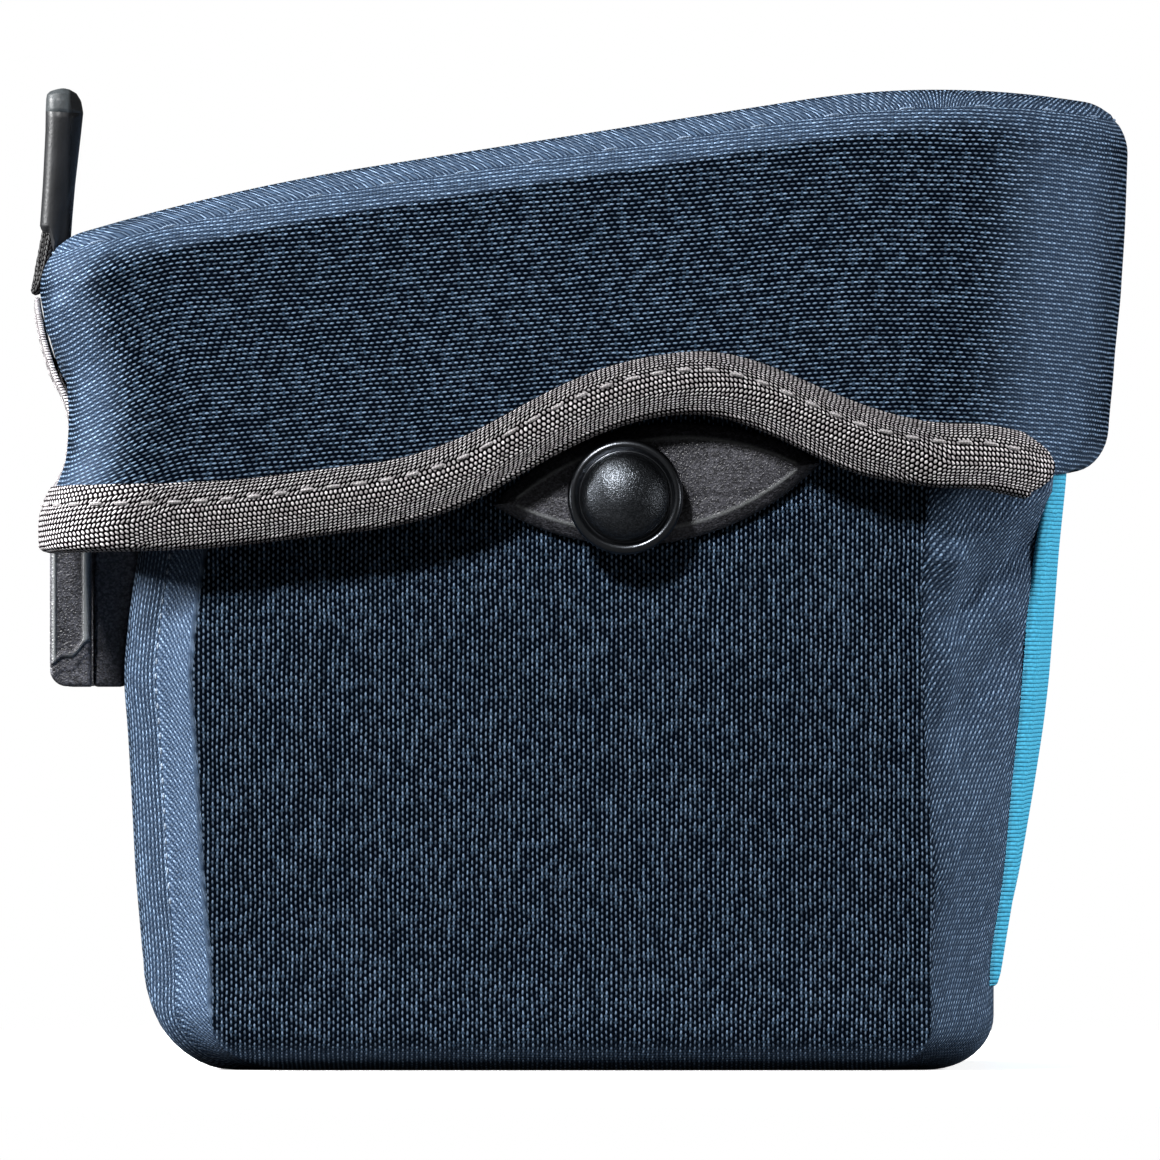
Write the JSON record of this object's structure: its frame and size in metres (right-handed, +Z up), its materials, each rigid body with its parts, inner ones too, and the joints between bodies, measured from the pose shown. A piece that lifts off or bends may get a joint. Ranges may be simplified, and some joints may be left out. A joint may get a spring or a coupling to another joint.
{
  "type": "bicycle handlebar bag",
  "caption": "Stiffened fabric handlebar bag: open tub under an overhanging sloped lid, taped lid edge, strap studs, grip on a cord and a moulded socket behind.",
  "frame": {"origin": "middle of the flat base, on the surface that the bag stands on", "axes": "+X to the bag's front, away from the rider; +Y to its left; +Z up"},
  "size_m": [0.1906, 0.238, 0.1714],
  "materials": {
    "navy_cloth": "coarse plain weave, coated inside, matt",
    "sky_cloth": "ribbed weave, matt",
    "grey_tape": "herringbone binding tape",
    "matt_black": "fine moulded grain",
    "gloss_black": "glossy, slightly grained",
    "pull_rubber": "satin",
    "cord_black": "braided"
  },
  "bodies": {
    "root": {"tub": "navy_cloth", "lid": "navy_cloth", "lid_edge_tape": "grey_tape", "front_panel": "sky_cloth", "socket_plate": "matt_black", "socket_rails": "matt_black", "stud_plate_right": "matt_black", "stud_right": "gloss_black", "stud_plate_left": "matt_black", "stud_left": "gloss_black", "pull": "pull_rubber", "pull_cord": "cord_black"}
  },
  "joints": []
}
